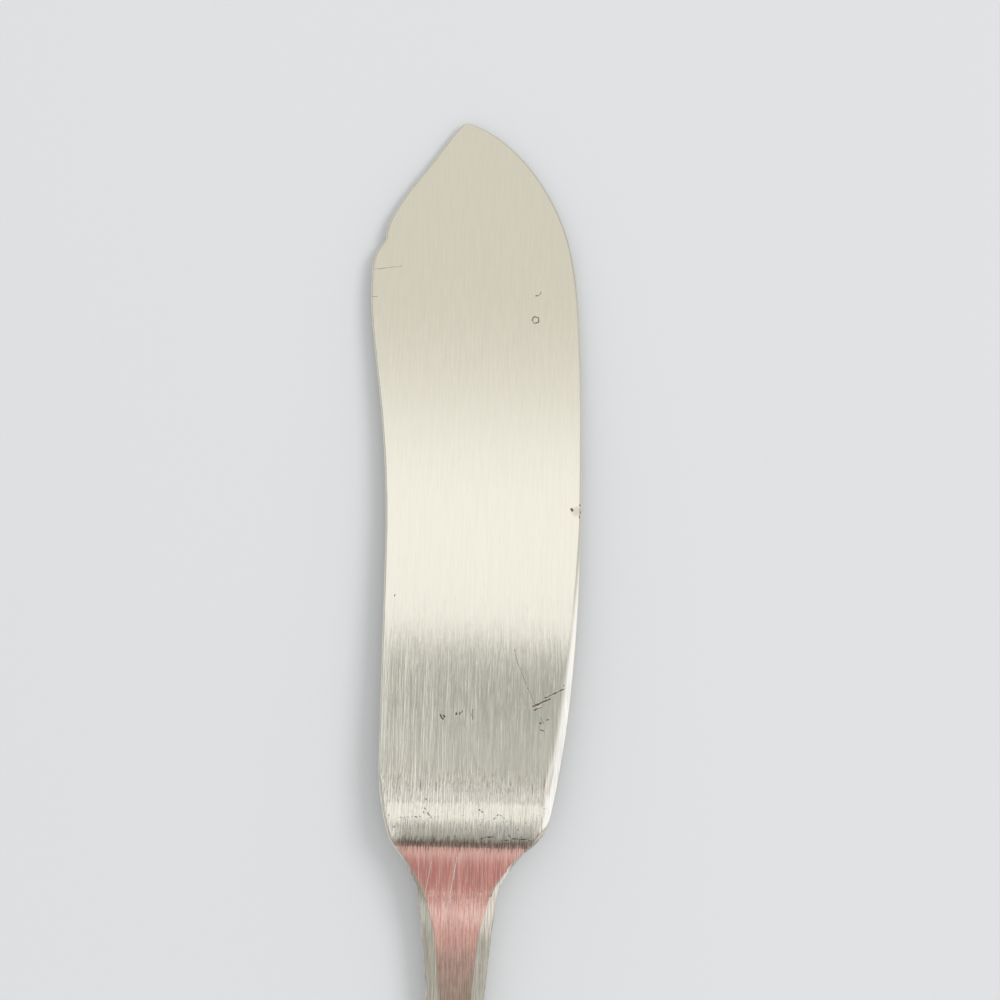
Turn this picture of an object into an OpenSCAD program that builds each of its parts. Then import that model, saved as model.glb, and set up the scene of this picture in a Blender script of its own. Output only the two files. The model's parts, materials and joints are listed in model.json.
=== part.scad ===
// Flat-handled butter knife, lying on its face with the back up. Sizes in millimetres.
// X runs across the blade with the cutting edge to the right, Y runs along the handle's axis
// towards the tip, and Z points up. Stations along the knife are counted from the shoulder line,
// where the blade meets the neck: blade stations are positive, neck and handle stations negative.

/* [Blade outline] */
// Length of the blade from the shoulder line to the tip
blade_l = 70.8; // [62:0.1:80]
// Reach of the cutting edge from the handle's axis at the fullest place of the belly
belly_reach = 11.1; // [9.8:0.1:14]
// Station of the fullest place of the belly
belly_at = 30.5; // [26:0.5:36]
// Reach of the cutting edge at the heel, where the shoulder's curve ends
heel_reach = 8.9; // [8.2:0.1:9.7]
// Station of the heel
heel_at = 3.8; // [3:0.1:6]
// Reach of the cutting edge level with the step in the spine
nose_reach = 9.35; // [8.4:0.05:9.7]
// Distance of the spine's straight stretch from the handle's axis
spine_reach = 7.9; // [7:0.1:8.6]
// Station where the spine's straight stretch starts
straight_at = 7.5; // [5:0.1:10]
// Length of the spine's straight stretch
straight_l = 20.5; // [15:0.5:24]
// Reach of the lip that the spine flares out to, below the step
lip_reach = 10.1; // [9.3:0.1:12]
// Length of the lip's curve, from its fullest place to the step
lip_l = 5; // [3.5:0.1:6]
// Depth of the step from the lip in to the nose
step_depth = 1.3; // [0.8:0.1:1.6]
// Distance from the tip back to the step
step_from_tip = 12; // [10.5:0.1:13.5]
// Distance of the tip from the handle's axis, towards the spine
tip_offset = 1; // [0:0.05:2]
// Length along the axis of the nose's straight side, which ends at the tip
nose_side_l = 5.2; // [4:0.1:6.5]
// Lean of the nose's straight side from the axis, in degrees
nose_lean = 37.5; // [34:0.5:40]

/* [Blade section] */
// Thickness of the blade where it leaves the shoulder
root_t = 1.8; // [1.4:0.05:2.4]
// Thickness of the blade at the tip
tip_t = 0.9; // [0.7:0.05:1.2]
// Width of the rounding along the blade's edges
edge_w = 0.3; // [0.2:0.05:0.5]
// Width of the small flats that end the blade at its tip and the handle at its end
end_flat = 0.5; // [0.3:0.05:0.8]

/* [Shoulder] */
// Distance of the spine edge from the handle's axis on the shoulder line
spine_shoulder = 6.3; // [5.6:0.1:6.8]
// Distance of the cutting edge from the handle's axis on the shoulder line
cut_shoulder = 6.9; // [6.2:0.1:7.6]
// Width of the rounding on the spine level with the heel
spine_round_w = 0.6; // [0.3:0.1:1]
// Width of the rounding on the cutting edge at the heel, where it is widest
cut_round_w = 1.6; // [0.6:0.1:2]
// Height of the shoulder's crest above the blade's back
crest_h = 0.2; // [0.1:0.05:0.5]
// Length of the rise from the blade's back to the crest
rise_l = 4.8; // [3.5:0.1:6]

/* [Neck] */
// Length of the flare between the shoulder line and the top of the neck
flare_l = 4.6; // [4:0.1:6]
// Width of the neck below the flare
neck_w = 7.4; // [6.6:0.1:8.4]
// Length from the shoulder line to the narrowest place, where the handle starts
neck_l = 22; // [18:0.5:28]
// Width of the narrowest place
waist_w = 4.6; // [4:0.1:6]
// Thickness of the neck at its thickest
neck_t = 3; // [2.6:0.1:3.6]
// Distance from the shoulder line down to where the neck's bevelled flanks start
bevel_start = 2.5; // [1.5:0.1:4]
// Distance from the shoulder line down to where the neck is thickest and its flanks are full
bevel_full = 8; // [6:0.5:12]
// Lean of the flanks where they start, in degrees from the flat of the back
start_lean = 15; // [10:1:25]

/* [Handle] */
// Length of the handle from the narrowest place to the end
handle_l = 82.2; // [70:0.1:95]
// Width of the handle at its widest
handle_w = 16; // [13:0.5:19]
// Distance from the end forward to the widest place
widest_from_end = 14; // [10:0.5:18]
// Distance from the end forward to the lowest place of the arch
arch_from_end = 45; // [35:1:55]
// Depth of the handle's arch below the blade's back
arch_h = 3.2; // [2:0.1:5]
// Rise of the handle's end above the lowest place of the arch
end_rise = 2.4; // [1:0.1:4]
// Thickness of the handle at the lowest place of the arch
handle_t = 2.4; // [2:0.1:3]
// Thickness of the handle at its end
end_t = 1.9; // [1.6:0.1:2.4]
// Width of the bevelled flanks along the back
flank_w = 1.25; // [0.9:0.05:1.5]
// Lean of the bevelled flanks, in degrees from the flat of the back
flank_lean = 38; // [30:1:42]
// Width of the rounding along the handle's face
face_round_w = 1.2; // [0.6:0.1:1.6]

/* [Hidden] */
// Sections on each stretch between two knots, and points on each corner of a section
stretch_steps = 14;
corner_steps = 4;
// Points on each stretch where a curve is only read from
fine_steps = 60;
// Share of the blade's thickness that the upper rounding takes, and most that the lower one takes
upper_share = 0.3;
lower_share = 0.3;
// Most of a section's width that one rounding takes, and the least part of the edges' rounding that is left
width_share = 0.45;
least_share = 0.2;
// Part of a corner's height that is lost where it runs around the tip and the handle's end
end_share = 0.9;
// Powers of the corner curve: 2 is a round edge and 1 is a flat bevel
round_power = 2;
bevel_power = 1;

// Stations and distances that follow from the sizes above
step_at = blade_l - step_from_tip;
step_reach = lip_reach - step_depth;
lip_at = step_at - lip_l;
nose_side_at = blade_l - nose_side_l;
nose_side_reach = tip_offset + end_flat / 2 + nose_side_l * tan(nose_lean);
straight_end = straight_at + straight_l;
waist_at = -neck_l;
bevel_start_at = -bevel_start;
bevel_at = -bevel_full;
end_at = -neck_l - handle_l;
widest_at = end_at + widest_from_end;
arch_at = end_at + arch_from_end;

// A knot of a curve is [across, along, heading, back, on]: its place, the curve's heading there in
// degrees from the along axis, and how far the curve's handles reach back and on, as shares of the
// distance to the neighbouring knots.
function place(k) = [k[0], k[1]];
function handle_point(k, other, share) =
    place(k) + share * norm(place(other) - place(k)) * [sin(k[2]), cos(k[2])];

function bezier(a, b, c, d, t) =
    pow(1 - t, 3) * a + 3 * pow(1 - t, 2) * t * b + 3 * (1 - t) * t * t * c + pow(t, 3) * d;

function stretch(from, to, t) =
    bezier(place(from), handle_point(from, to, from[4]), handle_point(to, from, -to[3]), place(to), t);

// The curve through a list of knots, as [along, across] pairs that lookup() can read
function curve(knots, steps) = [
    for (i = [0 : len(knots) - 2], j = [i == 0 ? 0 : 1 : steps])
        let (p = stretch(knots[i], knots[i + 1], j / steps))
            [p[1], p[0]]
];

// Two curves that meet at a corner, whose shared point is kept once
function joined(first, second) = concat(first, [for (i = [1 : len(second) - 1]) second[i]]);

// Half of the handle's outline, from the middle of its end to the narrowest place
handle_knots = [
    [end_flat / 2, end_at, 90, 0, 0.3],
    [handle_w / 2, widest_at, 0, 0.42, 0.36],
    [waist_w / 2, waist_at, 0, 0.36, 0],
];

// The neck's edge, on the right when side is 1 and on the left when it is -1
function neck_knots(side) = [
    [side * waist_w / 2, waist_at, 0, 0, 0.23],
    [side * neck_w / 2, -flare_l, side * 6, 0.26, 0.3],
];

// The spine runs straight, flares out to the lip and ends at the step
spine_knots = [
    [-spine_shoulder, 0, -40, 0.38, 0.18],
    [-spine_reach, straight_at, 0, 0.3, 0.33],
    [-spine_reach, straight_end, 0, 0.33, 0.5],
    [-lip_reach, lip_at, 0, 0.21, 0.6],
    [-step_reach, step_at, 35, 0.4, 0],
];

// Above the step the spine turns over into the nose's straight side, which leans in to the tip
nose_knots = [
    [-step_reach, step_at, -2, 0, 0.25],
    [-nose_side_reach, nose_side_at, nose_lean, 0.38, 0.4],
    [-tip_offset - end_flat / 2, blade_l, 90, 0.07, 0],
];

// The cutting edge is one full curve from the shoulder over the belly to the tip
cut_knots = [
    [cut_shoulder, 0, 48, 0.34, 0.5],
    [heel_reach, heel_at, 11, 0.4, 0.31],
    [belly_reach, belly_at, 0, 0.4, 0.66],
    [nose_reach, step_at, -16, 0.13, 0.34],
    [-tip_offset + end_flat / 2, blade_l, -73, 0.31, 0],
];

// Height of the back along the knife: the arch, the crest of the shoulder and the flat blade
back_knots = [
    [end_rise - arch_h, end_at, -6, 0, 0.27],
    [-arch_h, arch_at, 0, 0.5, 0.35],
    [crest_h, 0, 0, 0.15, 0.55],
    [0, rise_l, 0, 0.22, 0.33],
    [0, blade_l, 0, 0.33, 0],
];

// Thickness along the knife
thickness_knots = [
    [end_t, end_at, 0, 0, 0.27],
    [handle_t, arch_at, 1, 0.27, 0.32],
    [neck_t, bevel_at, 0, 0.13, 0.16],
    [root_t, rise_l, -1, 0.32, 0.33],
    [tip_t, blade_l, -1, 0.33, 0],
];

// Both edges, the back and the thickness over the whole length, read by station
handle_edge = curve(handle_knots, fine_steps);
spine_edge = joined(
    [for (p = handle_edge) [p[0], -p[1]]],
    joined(curve(concat(neck_knots(-1), spine_knots), fine_steps), curve(nose_knots, fine_steps)));
cut_edge = joined(handle_edge, curve(concat(neck_knots(1), cut_knots), fine_steps));
back_line = curve(back_knots, fine_steps);
thickness_line = curve(thickness_knots, fine_steps);

// Width of the rounding or bevel along each edge, square to the edge
flanks = [[bevel_at, flank_w], [bevel_start_at, edge_w]];
spine_rounding = concat(flanks, [[0, edge_w], [heel_at, spine_round_w], [straight_at, edge_w]]);
cut_rounding = concat(flanks, [[0, edge_w], [heel_at, cut_round_w], [belly_at, edge_w]]);
face_rounding = [[bevel_at, face_round_w], [0, edge_w]];
// The back's corners turn from round edges on the blade into flat bevels, whose lean grows downwards
corner_power = [[bevel_start_at, bevel_power], [0, round_power]];
blade_share = [[bevel_start_at, 0], [0, 1]];
flank_leans = [[bevel_at, flank_lean], [bevel_start_at, start_lean]];

function thickness(y) = lookup(y, thickness_line);
function underside(y) = lookup(y, back_line) - thickness(y);

// Drop of the back's corners below the back
function drop(y) =
    let (share = lookup(y, blade_share))
        share * upper_share * thickness(y)
            + (1 - share) * lookup(y, flanks) * tan(lookup(y, flank_leans));

function reversed(list) = [for (i = [len(list) - 1 : -1 : 0]) list[i]];

// Shares of a corner's width at which its points lie, from the flat out to the edge
corner_shares = [for (i = [0 : corner_steps]) 1 - sin(90 * i / corner_steps)];

// Share of its height that a corner has gained at a share of its width, counted in from the edge
function corner_rise(share, power) = pow(1 - pow(1 - share, power), 1 / power);

// An edge moved inwards, square to itself, by a share of the widths along it. side is 1 on the right
// and -1 on the left.
function inset(edge, widths, side, share = 1) = [
    for (i = [0 : len(edge) - 1])
        let (run = edge[min(i + 1, len(edge) - 1)] - edge[max(i - 1, 0)])
            edge[i] + side * share * lookup(edge[i][0], widths) * [run[1], -run[0]] / norm(run)
];

spine_inset = inset(spine_edge, spine_rounding, -1);
cut_inset = inset(cut_edge, cut_rounding, 1);
spine_face_inset = inset(spine_edge, face_rounding, -1);
cut_face_inset = inset(cut_edge, face_rounding, 1);
flank_insets = [for (share = corner_shares) inset(cut_edge, flanks, 1, share)];
face_insets = [for (share = corner_shares) inset(cut_edge, face_rounding, 1, share)];

// Stations of each node's sections, taken where the edges have their own knots and points. The handle
// takes its stations from the bevel around its end, and then from the rim of the flat inside that bevel.
function stations(pairs) = [for (p = pairs) p[0]];
handle_rim = inset(curve(handle_knots, stretch_steps), flanks, 1);
handle_stations = concat(
    [for (share = reversed(corner_shares)) end_at + share * flank_w],
    [for (i = [1 : len(handle_rim) - 2]) handle_rim[i][0]],
    [waist_at]);
neck_stations = stations(curve(concat(neck_knots(-1), [spine_knots[0]]), stretch_steps));
blade_stations = stations(joined(curve(spine_knots, stretch_steps), curve(nose_knots, stretch_steps)));

// How far the corner, carried around the tip, lowers the back there
function tip_drop(y) =
    let (share = min(1, (blade_l - y) / edge_w))
        end_share * drop(y) * (1 - corner_rise(share, round_power));

// A corner's points as [reach, rise] pairs, from the flat out to the edge: how far each one lies in from
// the edge, and the share of the corner's height that it has gained. The width keeps to the room there is.
function corner_of(width, limit, power) =
    let (kept = min(limit, max(least_share * edge_w, width)))
        [for (share = corner_shares) [share * kept, corner_rise(share, power)]];

// The same on the handle, where the points are read from inset edges, so that the corner runs around the
// handle's end. Points that have no room left there gather on the small flat that ends the handle.
function handle_corner(y, insets, width, power) =
    let (edge = lookup(y, cut_edge),
         room = (y - end_at) / width)
        [for (i = [0 : corner_steps])
            let (share = corner_shares[i])
                share > room
                    ? [edge - (1 - share / 2) * end_flat / 2,
                       corner_rise(max(room, (1 - end_share) * share), power)]
                    : [edge - lookup(y, insets[i]), corner_rise(share, power)]];

// A corner set at an edge of a section. side is 1 on the right and -1 on the left.
function set_corner(points, edge_x, side, flat_z, height, y) =
    [for (p = points) [edge_x - side * p[0], y, flat_z - height * (1 - p[1])]];

// The section of the knife at one station, clockwise as seen from the tip
function section(y) =
    let (left = lookup(y, spine_edge),
         right = lookup(y, cut_edge),
         top = lookup(y, back_line) - tip_drop(y),
         bottom = underside(y),
         top_h = drop(y) - tip_drop(y),
         face_h = -lower_share * thickness(y),
         power = lookup(y, corner_power),
         limit = width_share * (right - left),
         on_handle = y < waist_at,
         flank = handle_corner(y, flank_insets, flank_w, bevel_power),
         face = handle_corner(y, face_insets, face_round_w, round_power),
         left_back = on_handle ? flank : corner_of(lookup(y, spine_inset) - left, limit, power),
         right_back = on_handle ? flank : corner_of(right - lookup(y, cut_inset), limit, power),
         left_face = on_handle ? face : corner_of(lookup(y, spine_face_inset) - left, limit, round_power),
         right_face = on_handle ? face : corner_of(right - lookup(y, cut_face_inset), limit, round_power))
        concat(
            set_corner(left_face, left, -1, bottom, face_h, y),
            reversed(set_corner(left_back, left, -1, top, top_h, y)),
            set_corner(right_back, right, 1, top, top_h, y),
            reversed(set_corner(right_face, right, 1, bottom, face_h, y)));

// A solid through the sections at the given stations. The right half's faces are split the other way, so
// that both halves have the same facets.
module loft(at) {
    rings = [for (y = at) section(y)];
    count = len(rings[0]);
    last = (len(at) - 1) * count;
    sides = [
        for (i = [0 : len(at) - 2], j = [0 : count - 1])
            let (a = i * count + j, b = i * count + (j + 1) % count, c = a + count, d = b + count)
                each (j < count / 2 ? [[a, b, d], [a, d, c]] : [[a, b, c], [b, d, c]])
    ];
    start_cap = [for (j = [count - 1 : -1 : 0]) j];
    end_cap = [for (j = [0 : count - 1]) last + j];
    polyhedron([for (ring = rings) each ring], concat(sides, [start_cap, end_cap]));
}

// The knife rests on its tip and on the arch of its handle, so it is laid down on these two
rest_tilt = max([
    for (y = handle_stations) atan2(underside(blade_l) - underside(y), blade_l - y)
]);
middle_x = (max([for (p = cut_edge) p[1]]) + min([for (p = spine_edge) p[1]])) / 2;
function laid_y(p) = p[1] * cos(rest_tilt) + p[2] * sin(rest_tilt);
tip_y = max([for (p = section(blade_l)) laid_y(p)]);
end_y = min([for (p = section(end_at)) laid_y(p)]);
lowest = underside(blade_l) * cos(rest_tilt) - blade_l * sin(rest_tilt);

module lay() {
    translate([-middle_x, -(tip_y + end_y) / 2, -lowest])
        rotate([-rest_tilt, 0, 0])
            children();
}

module blade() {
    color("silver") lay() loft(blade_stations);
}

module neck() {
    color("silver") lay() loft(neck_stations);
}

module handle() {
    color("silver") lay() loft(handle_stations);
}

blade();
neck();
handle();
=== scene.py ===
# %% [markdown]
# # A butter knife in brushed steel
#
# The real knife is one strip of stainless steel: stamped out, ground flat on the blade, pressed into a
# gentle arch along the handle and brushed lengthwise. The measured solids of its three stretches, the
# blade, the neck and the handle, are loaded first and stay as they are. Everything that follows is built
# around them.

# %% Load the frame
import json
import math

import bpy
from mathutils import Matrix, Vector


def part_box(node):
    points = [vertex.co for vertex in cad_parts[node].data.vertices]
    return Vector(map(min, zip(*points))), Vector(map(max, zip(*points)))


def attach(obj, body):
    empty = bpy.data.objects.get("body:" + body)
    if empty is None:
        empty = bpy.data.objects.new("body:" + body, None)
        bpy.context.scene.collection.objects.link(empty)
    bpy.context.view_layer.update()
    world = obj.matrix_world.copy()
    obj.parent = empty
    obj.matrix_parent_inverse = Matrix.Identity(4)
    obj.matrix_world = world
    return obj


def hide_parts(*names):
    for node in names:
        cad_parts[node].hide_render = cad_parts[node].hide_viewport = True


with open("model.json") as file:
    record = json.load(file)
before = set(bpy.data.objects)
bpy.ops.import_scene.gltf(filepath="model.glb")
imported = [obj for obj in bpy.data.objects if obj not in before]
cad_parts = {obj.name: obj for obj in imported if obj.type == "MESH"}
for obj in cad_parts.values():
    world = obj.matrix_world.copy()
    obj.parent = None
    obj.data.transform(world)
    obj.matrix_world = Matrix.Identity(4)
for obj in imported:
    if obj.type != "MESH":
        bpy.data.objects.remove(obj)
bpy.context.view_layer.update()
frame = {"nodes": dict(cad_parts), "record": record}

MM = 0.001

# %% [markdown]
# Every place on the knife is easiest to name from two lines that can be seen on it: the middle line of the
# handle, and the shoulder line where the blade begins. The record gives a point on the flat back of the
# blade and the way it faces. With these, a pair of millimetres is turned into a point on the blade's back.

# %% Find the blade's back
back_mount = frame["record"]["mounts"][0]
back_point = Vector(back_mount["pos_m"])
back_normal = Vector(back_mount["axis"]).normalized()
handle_low, handle_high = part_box("handle")
middle_x = (handle_low.x + handle_high.x) / 2
shoulder_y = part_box("neck")[1].y
across_blade = Vector((1, 0, 0))
along_blade = back_normal.cross(across_blade)
shoulder_middle = Vector((middle_x, shoulder_y, back_point.z))
shoulder_middle.z -= (shoulder_middle - back_point).dot(back_normal) / back_normal.z


def on_back(across, along):
    """The point on the blade's back at these millimetres from the middle line and the shoulder line."""
    return shoulder_middle + across_blade * across * MM + along_blade * along * MM


print("shoulder line's middle in mm:", [round(value / MM, 2) for value in shoulder_middle])

# %% [markdown]
# The photograph was taken from almost straight above. Its camera leaned a few degrees towards the
# handle, and the knife lies turned a little in the frame. A camera is set by where its
# picture's middle falls on the blade, how far away it is, how it leans and how it is turned. The lens
# follows from the focal length in pixels, because a sensor's width spans the picture's width.

# %% Place the camera
IMAGE_PIXELS = 1000
FOCAL_PIXELS = 1500
MM_PER_PIXEL = 0.0969
SENSOR_MM = 36
PICTURE_MIDDLE = (3.13, 33.08)
CAMERA_LEAN = math.radians(6.2)
CAMERA_TURN = math.radians(1.37)
NEAREST_SEEN = 5 * MM

target = on_back(*PICTURE_MIDDLE)
picture_up = Matrix.Rotation(CAMERA_TURN, 3, back_normal) @ along_blade
distance = FOCAL_PIXELS * MM_PER_PIXEL * MM
backward = back_normal * math.cos(CAMERA_LEAN) - picture_up * math.sin(CAMERA_LEAN)
picture_right = picture_up.cross(backward).normalized()
camera_axes = Matrix((picture_right, backward.cross(picture_right), backward)).transposed()
bpy.ops.object.camera_add(location=target + backward * distance, rotation=camera_axes.to_euler())
camera = bpy.context.object
camera.name = "photo_camera"
camera.data.sensor_width = SENSOR_MM
camera.data.lens = SENSOR_MM * FOCAL_PIXELS / IMAGE_PIXELS
camera.data.clip_start = NEAREST_SEEN
bpy.context.scene.camera = camera
bpy.context.scene.view_settings.view_transform = "Standard"
print("camera height in mm:", round(camera.location.z / MM, 1), "lens:", camera.data.lens)

# %% [markdown]
# A material is a graph of small nodes, and long sums are hard to read as nodes. So one small class wraps
# a socket and lets plain Python operators add the Math nodes, and a second one holds a node tree and adds
# every other kind of node. After this cell a mask can be written as an ordinary expression.

# %% Write shader maths as expressions
class Wire:
    """The output of a node, which can be added, subtracted and multiplied like a number."""

    def __init__(self, graph, socket):
        self.graph = graph
        self.socket = socket

    def __add__(self, other):
        return self.graph.math("ADD", self, other)

    __radd__ = __add__

    def __sub__(self, other):
        return self.graph.math("SUBTRACT", self, other)

    def __rsub__(self, other):
        return self.graph.math("SUBTRACT", other, self)

    def __mul__(self, other):
        return self.graph.math("MULTIPLY", self, other)

    __rmul__ = __mul__


class Graph:
    """A node tree that starts empty."""

    def __init__(self, tree):
        self.tree = tree
        tree.nodes.clear()

    def node(self, kind, settings, inputs, output=0):
        """Adds a node, sets its settings, then fills or links its sockets. Gives the named output."""
        made = self.tree.nodes.new(kind)
        for name, value in settings.items():
            setattr(made, name, value)
        for key, value in inputs.items():
            socket = made.inputs[key]
            if isinstance(value, Wire):
                self.tree.links.new(value.socket, socket)
            else:
                socket.default_value = value
        return Wire(self, made.outputs[output]) if made.outputs else made

    def math(self, operation, *values):
        return self.node("ShaderNodeMath", {"operation": operation}, dict(enumerate(values)))

    def vector(self, operation, inputs, output="Vector"):
        return self.node("ShaderNodeVectorMath", {"operation": operation}, dict(enumerate(inputs)), output)

    def part(self, vector, axis):
        return self.node("ShaderNodeSeparateXYZ", {}, {"Vector": vector}, axis)

    def noise(self, vector, scale, detail, output=0):
        inputs = {"Vector": vector, "Scale": scale, "Detail": detail}
        return self.node("ShaderNodeTexNoise", {}, inputs, output)

    def fade(self, value, start, end):
        """0 before start and 1 past end, with a soft change between them."""
        places = {"Value": value, "From Min": start, "From Max": end}
        return self.node("ShaderNodeMapRange", {"interpolation_type": "SMOOTHSTEP"}, places)

    def strongest(self, masks):
        """The largest of several masks at each place."""
        result = masks[0]
        for mask in masks[1:]:
            result = self.math("MAXIMUM", result, mask)
        return result

    def blend(self, share, first, second):
        """The first colour where share is 0 and the second where it is 1."""
        colours = {0: share, 6: opaque(first), 7: opaque(second)}
        return self.node("ShaderNodeMix", {"data_type": "RGBA"}, colours, 2)


def opaque(colour):
    """A colour given as three numbers gets its fourth. A wire is left as it is."""
    return colour if isinstance(colour, Wire) else (*colour, 1)


def new_material(name):
    material = bpy.data.materials.new(name)
    material.use_nodes = True
    return material, Graph(material.node_tree)


print("shader maths is ready")

# %% [markdown]
# The knife lies on a plain pale floor, as wide as a table, which takes its shadow. The floor is a flat
# plane whose colour wanders very slightly, as on a sheet of matt card.

# %% Lay the floor
FLOOR_SIZE = 6
FLOOR_COLOUR = (0.74, 0.75, 0.76)
FLOOR_SHADE = (0.72, 0.73, 0.745)
FLOOR_ROUGHNESS = 0.8
CLOUDS_PER_METRE = 9

bpy.ops.object.select_all(action="DESELECT")
bpy.ops.mesh.primitive_plane_add(size=FLOOR_SIZE)
floor = bpy.context.object
floor.name = "pale_floor"
card, graph = new_material("pale_card")
place = graph.node("ShaderNodeTexCoord", {}, {}, "Object")
cloud = graph.noise(place, CLOUDS_PER_METRE, 3)
surface = graph.node(
    "ShaderNodeBsdfPrincipled",
    {},
    {"Base Color": graph.blend(cloud, FLOOR_COLOUR, FLOOR_SHADE), "Roughness": FLOOR_ROUGHNESS},
)
graph.node("ShaderNodeOutputMaterial", {}, {"Surface": surface})
floor.data.materials.append(card)
print("floor:", floor.name)

# %% [markdown]
# Polished steel has little colour of its own: it shows what stands around it. A cutlery photographer
# therefore hangs cards and lamps over a knife and looks at their reflections. Here the same is done in the
# world. A direction is told by two angles from straight overhead, one towards the tip and one towards the
# right. A card is a patch with soft edges, and each edge is a pair of degrees, from outside to inside.

# %% Measure the world in degrees
world = bpy.data.worlds.new("studio")
bpy.context.scene.world = world
world.use_nodes = True
studio = Graph(world.node_tree)
direction = studio.node("ShaderNodeTexCoord", {}, {}, "Generated")
to_tip = studio.math("ARCSINE", studio.part(direction, "Y")) * math.degrees(1)
to_right = studio.math("ARCTAN2", studio.part(direction, "X"), studio.part(direction, "Z")) * math.degrees(1)
aside = studio.math("ABSOLUTE", to_right)


def patch(right_edges, tip_edges):
    """1 inside a patch of the world, and 0 outside it."""
    fades = [studio.fade(to_right, *edge) for edge in right_edges]
    fades += [studio.fade(to_tip, *edge) for edge in tip_edges]
    return math.prod(fades)


print("world:", world.name)

# %% [markdown]
# A white panel hangs over the blade. It is dimmer past the tip, and gives way to grey wall on the right
# there. A soft window stands on the right beside the shoulder. The rest of the room is grey wall with a
# paler band on each side, and a soft glow further back on the right.

# %% Hang the panel, the window and the walls
PANEL = (1.09, 1.09, 1.06)
PANEL_END = (0.78, 0.76, 0.69)
WINDOW = (1.17, 1.18, 1.24)
GLOW = (1.0, 0.96, 0.93)
PALE_WALL = (0.65, 0.66, 0.61)
WALL = (0.42, 0.41, 0.37)

panel_end = patch([], [(8, 16)])
beside_tip = patch([(10, 24)], [(1.6, 3.6), (24, 14)])
past_tip = patch([(15, 90)], [(14, 24)])
window = patch([(16, 28)], [(2, -0.5)])
reflected = studio.blend(panel_end, PANEL, PANEL_END)
reflected = studio.blend(beside_tip, reflected, PALE_WALL)
reflected = studio.blend(past_tip, reflected, WALL)
reflected = studio.blend(window, reflected, WINDOW)

pale_band = studio.fade(aside, 54, 64) * studio.fade(aside, 86, 74)
wall = studio.blend(pale_band, WALL, PALE_WALL)
far_left = patch([(-25, -60)], [])
far_right = patch([(84, 110)], [])
left_of_flare = patch([(-4, -14)], [(-4, -9)])
right_of_flare = patch([(6, 14), (34, 22)], [(-4, -9)])
past_flare = patch([], [(-15.5, -19.5)])
all_walls = studio.strongest([far_left, far_right, left_of_flare, right_of_flare, past_flare])
reflected = studio.blend(all_walls, reflected, wall)
glow = patch([(22, 32), (80, 70)], [(-23, -26), (-44, -38)])
reflected = studio.blend(glow, reflected, GLOW)
print("studio nodes:", len(world.node_tree.nodes))

# %% [markdown]
# A grey card hangs over the shoulder. It is paler towards the neck, and its far edge slants a little, as
# the darkening of the blade does on the photograph.

# %% Hang the grey card
GREY_CARD = (0.464, 0.469, 0.444)
PALE_GREY = (0.635, 0.64, 0.612)

grey = studio.blend(patch([], [(2.2, -1.6)]), GREY_CARD, PALE_GREY)
slanted = to_tip + patch([(-8, 14)], [])
far_edge = studio.fade(slanted, 3.75, 2.8)
grey_share = patch([(-12, -3), (34, 4)], [(-4.2, -3.4)]) * far_edge
reflected = studio.blend(grey_share, reflected, grey)
print("studio nodes:", len(world.node_tree.nodes))

# %% [markdown]
# A rose card hangs over the neck, and a dark gap lies between it and the grey card. The rose card has a
# paler front edge and a pale stripe, which leaves it slightly pale behind. A brown bench stands past it.

# %% Hang the rose card
GAP = (0.17, 0.148, 0.127)
ROSE_CARD = (0.65, 0.287, 0.267)
PALE_ROSE = (1.25, 0.9, 0.86)
BENCH = (0.4, 0.32, 0.275)
PALE_EDGE_SHARE = 0.4
PALE_BEHIND_SHARE = 0.24

gap = patch([(-18, -8), (10, 1)], [(-2.5, -3.2), (-10, -7)])
reflected = studio.blend(gap, reflected, GAP)
pale_edge = patch([], [(-9.5, -6)]) * PALE_EDGE_SHARE
stripe_front = patch([], [(-12.9, -14.1)])
stripe_back = patch([], [(-15.1, -14.5)])
pale_stripe = stripe_front * (stripe_back * (1 - PALE_BEHIND_SHARE) + PALE_BEHIND_SHARE)
bench = patch([], [(-16.4, -17.3)])
rose = studio.blend(pale_stripe + pale_edge, ROSE_CARD, PALE_ROSE)
rose = studio.blend(bench, rose, BENCH)
rose_share = patch([(-16, -6), (14, 4)], [(-4.3, -5.1), (-27, -20)])
reflected = studio.blend(rose_share, reflected, rose)
print("studio nodes:", len(world.node_tree.nodes))

# %% [markdown]
# Only glossy rays see the cards. Other rays see an even pale room, so the light stays plain, and the camera
# sees a backdrop in the colour of the far floor.

# %% Show the cards to glossy rays
ROOM = (0.8, 0.8, 0.8)
BACKDROP = (0.61, 0.625, 0.625)

is_glossy = studio.node("ShaderNodeLightPath", {}, {}, "Is Glossy Ray")
is_camera = studio.node("ShaderNodeLightPath", {}, {}, "Is Camera Ray")
seen = studio.blend(is_camera, studio.blend(is_glossy, ROOM, reflected), BACKDROP)
background = studio.node("ShaderNodeBackground", {}, {"Color": seen})
studio.node("ShaderNodeOutputWorld", {}, {"Surface": background})
print("studio nodes:", len(world.node_tree.nodes))

# %% [markdown]
# One soft lamp on the right, where the window is, gives the knife its shadow.

# %% Light the knife
LAMP_PLACE = Vector((1.1, 0.4, 1.2))
LAMP_AIM = Vector((0, 0.05, 0))
LAMP_SIZE = 0.7
LAMP_WATTS = 8.8

lamp_turn = (LAMP_AIM - LAMP_PLACE).to_track_quat("-Z", "Y").to_euler()
bpy.ops.object.light_add(type="AREA", location=LAMP_PLACE, rotation=lamp_turn)
lamp = bpy.context.object
lamp.name = "window_lamp"
lamp.data.size = LAMP_SIZE
lamp.data.energy = LAMP_WATTS
lamp.visible_glossy = False
print("lamp:", lamp.name, lamp.data.energy, "W")

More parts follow.
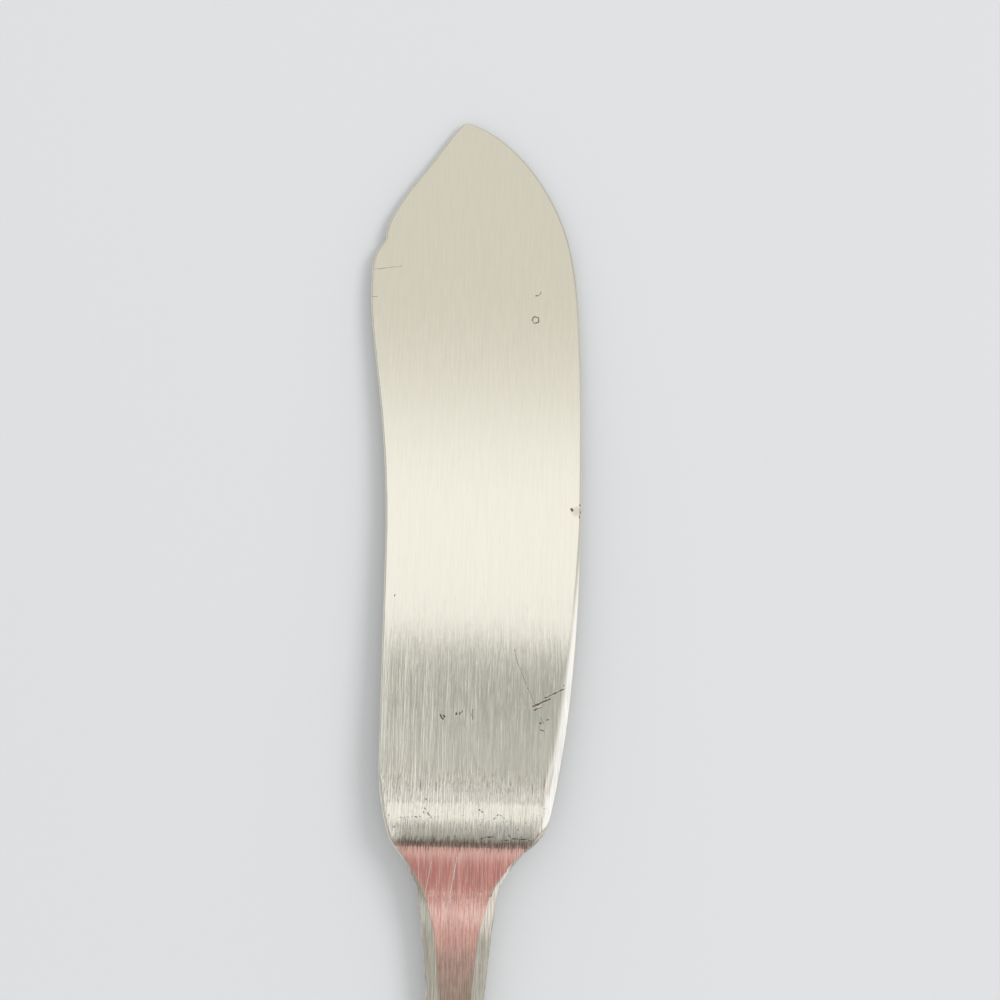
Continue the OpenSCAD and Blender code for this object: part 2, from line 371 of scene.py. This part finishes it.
# %% [markdown]
# Each stretch of the knife is dressed as a copy of its measured solid. The copy's loose triangles are
# merged and joined into four-sided faces. The normals that it was loaded with are dropped, because they
# belong to the loose triangles.

# %% Copy the solids
MERGE_WITHIN = 0.002 * MM


def choose(piece):
    """Makes a piece the only selected one."""
    bpy.ops.object.select_all(action="DESELECT")
    piece.select_set(True)
    bpy.context.view_layer.objects.active = piece


def edit(piece):
    """Opens a piece in edit mode, with nothing else selected."""
    choose(piece)
    bpy.ops.object.mode_set(mode="EDIT")


def merged_copy(node, name):
    """A copy of a node's solid with its triangles merged into one surface, without its loaded normals."""
    piece = bpy.data.objects.new(name, frame["nodes"][node].data.copy())
    bpy.context.collection.objects.link(piece)
    edit(piece)
    bpy.ops.mesh.select_all(action="SELECT")
    bpy.ops.mesh.remove_doubles(threshold=MERGE_WITHIN)
    bpy.ops.mesh.tris_convert_to_quads()
    bpy.ops.object.mode_set(mode="OBJECT")
    bpy.ops.mesh.customdata_custom_splitnormals_clear()
    print(name, "faces:", len(piece.data.polygons))
    return piece


blade = merged_copy("blade", "knife_blade")
neck = merged_copy("neck", "knife_neck")
handle = merged_copy("handle", "knife_handle")
pieces = {"blade": blade, "neck": neck, "handle": handle}

# %% [markdown]
# The bevelled flanks of the neck and the handle meet the back in crisp lines, which brushing leaves slightly
# round. So the edges where the surface turns are found from the normals of the two faces beside them, and
# are bevelled. The end faces where two stretches touch are left out, because no edge shows there.

# %% Soften the lines
CRISP_ANGLE = math.radians(24)
SQUARE_ANGLE = math.radians(70)
LINE_SOFTNESS = 0.07 * MM
LINE_STEPS = 2
SEAM_REACH = 0.3 * MM
FACING = 0.95

seams = [shoulder_y, handle_high.y]


def select_only(piece, kind, numbers):
    """Opens a piece in edit mode with only the edges or faces of these numbers selected."""
    edit(piece)
    bpy.ops.mesh.select_mode(type=kind)
    bpy.ops.mesh.select_all(action="DESELECT")
    bpy.ops.object.mode_set(mode="OBJECT")
    elements = piece.data.edges if kind == "EDGE" else piece.data.polygons
    for number in numbers:
        elements[number].select = True
    bpy.ops.object.mode_set(mode="EDIT")


def touching_faces(mesh):
    """The numbers of the end faces that lie at a seam, where two stretches meet."""
    return [
        face.index for face in mesh.polygons
        if abs(face.normal.y) > FACING and any(abs(face.center.y - seam) < SEAM_REACH for seam in seams)
    ]


def crisp_lines(mesh):
    """The numbers of the edges where the surface turns, apart from square rims and the seams."""
    beside = {}
    for face in mesh.polygons:
        for key in face.edge_keys:
            beside.setdefault(key, []).append(face)
    hidden = set(touching_faces(mesh))
    lines = []
    for edge in mesh.edges:
        first, second = beside[edge.key]
        turn = first.normal.angle(second.normal)
        if CRISP_ANGLE < turn < SQUARE_ANGLE and hidden.isdisjoint([first.index, second.index]):
            lines.append(edge.index)
    return lines


def soften(piece):
    lines = crisp_lines(piece.data)
    select_only(piece, "EDGE", lines)
    bpy.ops.mesh.bevel(offset=LINE_SOFTNESS, segments=LINE_STEPS, affect="EDGES", clamp_overlap=True)
    bpy.ops.object.mode_set(mode="OBJECT")
    print(piece.name, "softened edges:", len(lines), "faces:", len(piece.data.polygons))


soften(neck)
soften(handle)

# %% [markdown]
# On the real knife the three stretches are one surface, so a reflection must run across their seams
# without a jump. A surface's shading follows its normals, and a piece by itself doesn't know its
# neighbour. So a shell is joined from copies of the pieces without the faces where they touch, and its
# normals are worked out with the wide faces weighing most.

# %% Join a shell without seams
SHARP_ANGLE = math.radians(45)
SEAM_MERGE = 0.016 * MM

shell_parts = []
for piece in pieces.values():
    part = bpy.data.objects.new(piece.name + "_open", piece.data.copy())
    bpy.context.collection.objects.link(part)
    select_only(part, "FACE", touching_faces(part.data))
    bpy.ops.mesh.delete(type="FACE")
    bpy.ops.object.mode_set(mode="OBJECT")
    shell_parts.append(part)

shell = shell_parts[0]
choose(shell)
for part in shell_parts:
    part.select_set(True)
bpy.ops.object.join()
edit(shell)
bpy.ops.mesh.select_all(action="SELECT")
bpy.ops.mesh.remove_doubles(threshold=SEAM_MERGE)
bpy.ops.object.mode_set(mode="OBJECT")
bpy.ops.object.shade_smooth_by_angle(angle=SHARP_ANGLE)
bpy.ops.object.modifier_add(type="WEIGHTED_NORMAL")
weighting = shell.modifiers[-1]
weighting.keep_sharp = True
weighting.mode = "FACE_AREA_WITH_ANGLE"
bpy.ops.object.modifier_apply(modifier=weighting.name)
print("shell faces:", len(shell.data.polygons))

# %% [markdown]
# A data transfer hands the shell's normals back to each piece. The shell has then done its work.

# %% Share the normals across the seams
for piece in pieces.values():
    choose(piece)
    bpy.ops.object.shade_smooth_by_angle(angle=SHARP_ANGLE)
    bpy.ops.object.modifier_add(type="DATA_TRANSFER")
    transfer = piece.modifiers[-1]
    transfer.object = shell
    transfer.use_loop_data = True
    transfer.data_types_loops = {"CUSTOM_NORMAL"}
    transfer.loop_mapping = "NEAREST_POLYNOR"
    bpy.ops.object.modifier_apply(modifier=transfer.name)
    print(piece.name, "has the shell's normals:", piece.data.has_custom_normals)
bpy.data.objects.remove(shell)

# %% [markdown]
# Brushed steel is a bright metal with fine grooves that all run along the knife. The grooves are too fine
# to model, so they are drawn by noise that is squeezed across the knife and stretched along it. The
# coordinates are millimetres from the shoulder line's middle. A stretch of the knife's length is given by
# its edges, and each edge is a pair of millimetres, from outside to inside.

# %% Measure the steel in millimetres
steel, graph = new_material("brushed_steel")
spot = graph.node("ShaderNodeTexCoord", {}, {}, "Object")
spot = graph.vector("SUBTRACT", [spot, shoulder_middle])
spot = graph.vector("MULTIPLY", [spot, (1 / MM, 1 / MM, 1 / MM)])
across = graph.part(spot, "X")
along = graph.part(spot, "Y")
above_back = graph.vector("DOT_PRODUCT", [spot, back_normal], "Value")


def stretch(*edges):
    """1 inside a stretch of the knife's length, and 0 outside it."""
    return math.prod([graph.fade(along, *edge) for edge in edges])


def width(*edges):
    """1 inside a part of the knife's width, and 0 outside it."""
    return math.prod([graph.fade(across, *edge) for edge in edges])


def brushing(across_per_mm, along_per_mm, detail):
    """Noise drawn out along the knife, with this many waves in a millimetre each way."""
    place = graph.vector("MULTIPLY", [spot, (across_per_mm, along_per_mm, across_per_mm / 10)])
    return graph.noise(place, 1, detail)


def ripple(noise, depth):
    """The noise as a height on both sides of the plain surface."""
    return (noise - 0.5) * depth


print("measuring nodes:", len(steel.node_tree.nodes))

# %% [markdown]
# The grooves tilt the surface from side to side: broad lanes, plain streaks and fine hairs. The rise at the
# shoulder was ground by a wheel, and its marks are shorter and rougher, and so are those on the neck. The
# rounded rim of the blade is polished and has no grooves.

# %% Brush the steel
LANE_DEPTH = 2
STREAK_DEPTH = 1
HAIR_DEPTH = 0.4
WHEEL_DEPTH = 3.5
NECK_DEPTH = 0.9

lanes = brushing(0.9, 0.02, 1)
streaks = brushing(5, 0.2, 3)
hairs = brushing(12, 0.5, 3)
wheel_marks = brushing(6, 0.35, 3)
neck_marks = brushing(4, 0.4, 3)
wheel_zone = stretch((9, 4), (0.2, 1.4)) * width((8.6, 7.4))
neck_zone = stretch((0, -1.5), (-34, -20))
rim = graph.fade(above_back, -0.05, -0.3) * stretch((-0.5, 0.5))
grooves = ripple(lanes, LANE_DEPTH) + ripple(streaks, STREAK_DEPTH) + ripple(hairs, HAIR_DEPTH)
grooves = grooves + ripple(wheel_marks, WHEEL_DEPTH) * wheel_zone
grooves = grooves + ripple(neck_marks, NECK_DEPTH) * neck_zone
grooves = grooves * (1 - rim)
print("brushing nodes:", len(steel.node_tree.nodes))

# %% [markdown]
# Brushing also leaves some lines brighter and others duller than the rest. On steel that contrast is light
# which the grooves scatter, and here it is painted into the colour: the dull lines are painted shade and the
# pale hairs painted highlights. They are picked from the noise by its value. The dull ones are strongest
# near the shoulder and on the neck, where the reflection is dark, and weak on the rise itself, where it is
# bright, and on the rest of the knife.

# %% Pick the bright and the dull lines, painted as highlights and shade
LEAST_DULLNESS = 0.2
BRIGHT_RISE_SHARE = 0.9
HAIR_SHARE = 0.6

fine_marks = brushing(12, 0.4, 3)
bright_hairs = graph.fade(hairs, 0.5, 0.75)
neck_hairs = graph.fade(brushing(7, 0.3, 3), 0.58, 0.42) * neck_zone
# painted highlights: pale hairs near the shoulder and on the rise, lighter than the steel
pale_hairs = graph.fade(fine_marks, 0.56, 0.7) * stretch((0, -0.4), (-6, -2))
wheel_hairs = graph.fade(fine_marks, 0.48, 0.66) * stretch((8, 5.5), (3.4, 4.6))
rise_zone = stretch((1.2, 2.6), (5.5, 4))
shaded_line_zone = stretch((20, 12), (-34, -20)) * (1 - rise_zone * BRIGHT_RISE_SHARE)
shaded_line_zone = shaded_line_zone * (1 - LEAST_DULLNESS) + LEAST_DULLNESS
mixed_lines = streaks * (1 - HAIR_SHARE) + hairs * HAIR_SHARE
# painted shade: dull brushed lines darken the steel's colour, most where its reflection is dark
dull_line_shade = graph.fade(mixed_lines, 0.6, 0.4) * shaded_line_zone
print("line nodes:", len(steel.node_tree.nodes))

# %% [markdown]
# Years of use have marked the blade. A mark is drawn by its distance: a scratch is near a line from one
# point to another, and a pit is near a very short one. A little noise bends the coordinates first, so that
# no dark mark is quite straight or round. The marks lie on the back only, so they end below it.

# %% Draw a mark by its distance
WAVER_PER_MM = 5
WAVER_REACH = 0.3
BACK_DEPTH = 0.35
LINE_OUTSIDE = 1.3
LINE_INSIDE = 0.4


def flat(place):
    """A place on the back as a vector, with no height."""
    return (*place, 0)


level = graph.vector("MULTIPLY", [spot, (1, 1, 0)])
waver = graph.vector("SUBTRACT", [graph.noise(spot, WAVER_PER_MM, 4, "Color"), (0.5, 0.5, 0.5)])
waver = graph.vector("MULTIPLY", [waver, (WAVER_REACH, WAVER_REACH, 0)])
bent = graph.vector("ADD", [level, waver])
on_top = graph.fade(above_back, -2 * BACK_DEPTH, -BACK_DEPTH)


def within(away, half_width):
    """1 close to a mark's middle, and 0 past half its width."""
    return graph.fade(away, half_width * LINE_OUTSIDE, half_width * LINE_INSIDE)


def near_line(place, start, end, half_width):
    """1 where a place is on the line from start to end, and 0 past half its width from it."""
    run = Vector(flat(end)) - Vector(flat(start))
    from_start = graph.vector("SUBTRACT", [place, flat(start)])
    reached = graph.vector("DOT_PRODUCT", [from_start, run / run.length_squared], "Value")
    reached = graph.math("MINIMUM", graph.math("MAXIMUM", reached, 0), 1)
    nearest = graph.node("ShaderNodeVectorMath", {"operation": "SCALE"}, {0: tuple(run), "Scale": reached})
    return within(graph.vector("DISTANCE", [from_start, nearest], "Value"), half_width)


def all_lines(place, lines):
    return graph.strongest([near_line(place, *line) for line in lines])


def away_from(place):
    return graph.vector("DISTANCE", [bent, flat(place)], "Value")


print("distance nodes:", len(steel.node_tree.nodes))

# %% [markdown]
# The scratches cross the grain. Some are dark and some are faint. A few, most of them on the neck, are light
# because they are fresh. Each is given by its two ends in millimetres, across and along, and by half its
# width.

# %% Scratch the steel
DARK_SCRATCHES = [
    [(7.92, 14.14), (9.65, 15.02), 0.08],
    [(6.79, 13.3), (8.31, 14.04), 0.11],
    [(6.82, 12.95), (7.55, 13.24), 0.08],
    [(6.2, 53.3), (6.45, 53.35), 0.05],
    [(6.45, 53.35), (6.7, 53.7), 0.05],
]
FAINT_SCRATCHES = [
    [(4.87, 18.74), (5.15, 17.6), 0.035],
    [(5.15, 17.6), (6.08, 15.32), 0.045],
    [(6.08, 15.32), (6.95, 13.38), 0.05],
    [(7.46, 12.37), (7.8, 11.61), 0.045],
    [(0.99, 12.95), (1.01, 11.91), 0.07],
    [(-9.9, 55.6), (-7.1, 56.0), 0.03],
    [(-9.9, 52.85), (-9.4, 52.9), 0.04],
]
LIGHT_SCRATCHES = [
    [(-2.5, -1.4), (-3.1, -4.7), 0.022],
    [(-0.1, -0.9), (-0.9, -5.8), 0.03],
    [(7.19, 13.23), (7.52, 13.39), 0.05],
]
DARK_STRENGTH = 0.85
FAINT_STRENGTH = 0.6

dark_scratches = all_lines(bent, DARK_SCRATCHES) * DARK_STRENGTH
faint_scratches = all_lines(bent, FAINT_SCRATCHES) * FAINT_STRENGTH
scratched = graph.strongest([dark_scratches, faint_scratches])
light = all_lines(level, LIGHT_SCRATCHES) * on_top
print("scratch nodes:", len(steel.node_tree.nodes))

# %% [markdown]
# The pits are small and dark, and are given in the same way. A ring is left near the tip, and a group of
# pits sits in a brownish stain at the blade's belly.

# %% Pit the steel
PITS = [
    [(7.5, 11.8), (7.51, 11.69), 0.09],
    [(8.04, 12.05), (8.21, 12.13), 0.07],
    [(7.52, 11.09), (7.85, 11.02), 0.055],
    [(9.62, 15.41), (9.62, 15.34), 0.06],
    [(-2.06, 12.25), (-1.84, 11.91), 0.1],
    [(-1.75, 12.26), (-1.64, 12.11), 0.1],
    [(-0.54, 12.52), (-0.53, 12.35), 0.085],
    [(-0.23, 12.42), (-0.2, 12.55), 0.075],
    [(-0.04, 12.6), (0.03, 12.74), 0.05],
    [(-6.75, 23.65), (-6.75, 23.55), 0.055],
    [(-3.31, 3.57), (-3.25, 3.5), 0.07],
    [(-3.42, 3.2), (-3.38, 3.13), 0.06],
    [(-3.2, 4.42), (-3.2, 4.35), 0.05],
    [(1.89, 3.52), (1.94, 3.45), 0.07],
    [(2.14, 3.32), (2.2, 3.28), 0.05],
    [(10.08, 32.32), (10.17, 32.22), 0.13],
    [(10.89, 32.8), (10.89, 32.7), 0.06],
    [(10.9, 32.12), (10.9, 32.0), 0.06],
    [(10.86, 31.62), (10.86, 31.52), 0.06],
]
RING_PLACE = (6.2, 50.9)
RING_RADIUS = 0.32
RING_WIDTH = 0.07
STAIN_PLACE = (10.55, 32.1)
STAIN_OUTSIDE = 0.66
STAIN_INSIDE = 0.22
PIT_STRENGTH = 0.9
RING_STRENGTH = 0.75

ring = within(graph.math("ABSOLUTE", away_from(RING_PLACE) - RING_RADIUS), RING_WIDTH)
stain = graph.fade(away_from(STAIN_PLACE), STAIN_OUTSIDE, STAIN_INSIDE) * on_top
pitted = graph.strongest([all_lines(bent, PITS) * PIT_STRENGTH, ring * RING_STRENGTH])
print("pit nodes:", len(steel.node_tree.nodes))

# %% [markdown]
# Jagged lines of tarnish lie like cracks along the crest of the shoulder and, finer, along the rise. Noise
# breaks them up. All the dark marks are then gathered in one mask.

# %% Crack the steel
CRACKS = [
    [(1.99, 0.8), (2.56, 1.0), 0.045],
    [(2.56, 1.0), (3.31, 1.01), 0.07],
    [(4.02, 0.72), (4.72, 0.74), 0.045],
    [(4.64, 1.23), (4.9, 1.05), 0.05],
    [(5.04, 0.91), (6.49, 0.84), 0.055],
    [(6.49, 0.84), (6.87, 0.66), 0.05],
]
HAIR_CRACKS = [
    [(-6.56, 2.58), (-3.72, 2.72), 0.06],
    [(-3.03, 3.09), (-2.58, 2.59), 0.06],
    [(-2.58, 2.59), (-2.01, 2.82), 0.06],
    [(0.15, 3.07), (0.44, 2.89), 0.05],
    [(3.27, 2.7), (3.71, 3.08), 0.06],
    [(3.71, 3.08), (4.28, 2.79), 0.06],
]
CRUMBS_PER_MM = 4
UNBROKEN_SHARE = 0.3
CRACK_STRENGTH = 0.95
HAIR_CRACK_STRENGTH = 0.76

crumbs = graph.noise(spot, CRUMBS_PER_MM, 3)
broken = graph.fade(crumbs, 0.35, 0.55) * (1 - UNBROKEN_SHARE) + UNBROKEN_SHARE
crack = all_lines(bent, CRACKS) * broken * CRACK_STRENGTH
hair_crack = all_lines(bent, HAIR_CRACKS) * graph.fade(crumbs, 0.45, 0.6) * HAIR_CRACK_STRENGTH
marks = graph.strongest([scratched, pitted, crack, hair_crack]) * on_top
print("marking nodes:", len(steel.node_tree.nodes))

# %% [markdown]
# Tarnish gathers where a cloth misses it. A dark brown film with ragged edges is painted along the crest of
# the shoulder. It is partly tarnish and partly painted shade, for the dark band that the bent surface
# reflects there.
# Specks and dark hairs lie on the rise above it, and a thin film dulls the neck.

# %% Tarnish the shoulder and paint the shade on its crest
SPECKS_PER_MM = 2.6
SPECK_STRENGTH = 0.5
RAGGED_REACH = 2.8
LEDGE_STRENGTH = 0.45
CREST_STRENGTH = 0.72
RISE_STRENGTH = 0.25
FILM_PER_MM = 0.7

speck = graph.fade(graph.noise(spot, SPECKS_PER_MM, 4), 0.66, 0.72) * stretch((5, 3), (0, 0.4)) * on_top
# painted shade: the ledge and crest film also darken the band that the shoulder's bend reflects dark
ledge_tarnish_and_shade = stretch((3, 0.8), (0, 0.4))
ragged_along = along + ripple(brushing(20, 0.8, 2), RAGGED_REACH)
crest_hairs_and_shade = graph.fade(ragged_along, 1.1, 0.5) * graph.fade(ragged_along, -0.35, 0.15)
crest_hairs_and_shade = crest_hairs_and_shade * (graph.fade(brushing(16, 0.5, 2), 0.35, 0.6) * 0.5 + 0.5)
crest_tarnish_and_shade = graph.strongest([ledge_tarnish_and_shade * LEDGE_STRENGTH, crest_hairs_and_shade * CREST_STRENGTH])
crest_tarnish_and_shade = crest_tarnish_and_shade * on_top * width((-6.4, -5), (8.4, 6.8))
rise_hairs = graph.fade(fine_marks, 0.47, 0.36) * stretch((5.5, 4), (1, 2)) * width((7.6, 6))
tarnish = graph.strongest([marks, speck * SPECK_STRENGTH, rise_hairs * RISE_STRENGTH])
film = graph.fade(graph.noise(spot, FILM_PER_MM, 3), 0.4, 0.7) * stretch((-8, -11), (-30, -20))
print("tarnish nodes:", len(steel.node_tree.nodes))

# %% [markdown]
# The colours are now laid over one another, from the plain steel to the fresh scratches. The marks are also
# rougher than the steel and a little sunk, and the grooves and marks together tilt the surface as a bump.

# %% Mix the steel
STEEL = (0.83, 0.805, 0.725)
SHADED_LINE_STEEL = (0.7, 0.68, 0.615)
NECK_FILM = (0.6, 0.54, 0.5)
STAIN = (0.5, 0.4, 0.27)
CREST_TARNISH_AND_SHADE = (0.09, 0.066, 0.045)
TARNISH = (0.062, 0.062, 0.056)
GLINT_STEEL = (1, 0.97, 0.92)
WARM_STEEL = (1, 0.9, 0.84)
FILM_SHARE = 0.5
NECK_HAIR_SHARE = 0.8
STAIN_SHARE = 0.45
WHEEL_HAIR_SHARE = 0.3
PALE_HAIR_SHARE = 0.4
LIGHT_SHARE = 0.85
PLAIN_ROUGHNESS = 0.075
HAIR_ROUGHNESS = 0.08
FILM_ROUGHNESS = 0.1
MARK_ROUGHNESS = 0.25
LIGHT_ROUGHNESS = 0.45
MARK_DEPTH = 0.5
GROOVE_DEPTH = 0.015 * MM

# painted shade from the dull brushed lines
colour = graph.blend(dull_line_shade, STEEL, SHADED_LINE_STEEL)
dull_neck = graph.strongest([film * FILM_SHARE, neck_hairs * NECK_HAIR_SHARE])
colour = graph.blend(dull_neck, colour, NECK_FILM)
colour = graph.blend(stain * STAIN_SHARE, colour, STAIN)
# painted shade and tarnish along the crest of the shoulder
colour = graph.blend(crest_tarnish_and_shade, colour, CREST_TARNISH_AND_SHADE)
colour = graph.blend(tarnish, colour, TARNISH)
# painted highlights: the pale hairs are laid in a lighter colour
glinting_hairs = graph.strongest([wheel_hairs * WHEEL_HAIR_SHARE, pale_hairs * PALE_HAIR_SHARE])
colour = graph.blend(glinting_hairs, colour, GLINT_STEEL)
colour = graph.blend(light * LIGHT_SHARE, colour, WARM_STEEL)
roughness = PLAIN_ROUGHNESS + bright_hairs * HAIR_ROUGHNESS + film * FILM_ROUGHNESS
roughness = roughness + marks * MARK_ROUGHNESS + light * LIGHT_ROUGHNESS
height = grooves - marks * MARK_DEPTH - light
grain = graph.node("ShaderNodeBump", {}, {"Strength": 1, "Distance": GROOVE_DEPTH, "Height": height})
surface = graph.node(
    "ShaderNodeBsdfPrincipled",
    {},
    {"Base Color": colour, "Metallic": 1, "Roughness": roughness, "Normal": grain},
)
graph.node("ShaderNodeOutputMaterial", {}, {"Surface": surface})
for piece in pieces.values():
    piece.data.materials.clear()
    piece.data.materials.append(steel)
print("steel nodes:", len(steel.node_tree.nodes))

# %% [markdown]
# Each dressed piece stands for its solid and moves with the knife, which has no joints and so is one body.

# %% Fasten the pieces to the knife
for node, piece in pieces.items():
    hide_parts(node)
    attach(piece, "root")
